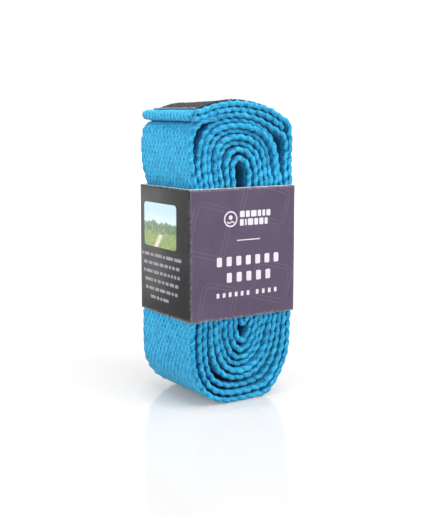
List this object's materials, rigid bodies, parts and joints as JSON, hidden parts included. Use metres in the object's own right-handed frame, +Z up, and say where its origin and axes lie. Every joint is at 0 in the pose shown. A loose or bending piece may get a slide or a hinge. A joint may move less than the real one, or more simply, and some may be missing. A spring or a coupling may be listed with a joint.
{
  "type": "stretching strap",
  "caption": "Flat woven stretching strap with a sewn loop at each end, wound into a flattened roll and held by a printed card sleeve.",
  "frame": {"origin": "centre of the bottom of the bounding box, on the surface that the rounded end of the roll stands on", "axes": "+Z up along the roll's long side, -Y the front where the wound selvedges and the printed front panel show, +X to the right of the front"},
  "size_m": [0.0508, 0.04, 0.1186],
  "materials": {
    "webbing": "woven cotton and polyester webbing, bright blue",
    "thread": "sewing thread, blue",
    "label": "woven label, near black",
    "label_thread": "sewing thread, pale blue grey",
    "card": "printed board, satin",
    "glue": "dried adhesive"
  },
  "bodies": {
    "roll": {"webbing_roll": "webbing", "webbing_inner_loop": "webbing", "inner_loop_stitching": "thread"},
    "outer_loop": {"webbing_outer_loop": "webbing", "outer_loop_stitching": "thread", "loop_label": "label", "label_stitching": "label_thread"},
    "sleeve": {"card_sleeve": "card", "sleeve_glue_strip": "glue"}
  },
  "joints": [
    {"name": "loop_lift", "type": "hinge", "parent": "roll", "child": "outer_loop", "pos_m": [0.02352, -0.00025, 0.10793], "axis": [0, 1, 0], "range_deg": [0, 80]},
    {"name": "sleeve_slide", "type": "slide", "parent": "roll", "child": "sleeve", "axis": [0, 0, 1], "range_m": [-0.088, 0.02]}
  ]
}
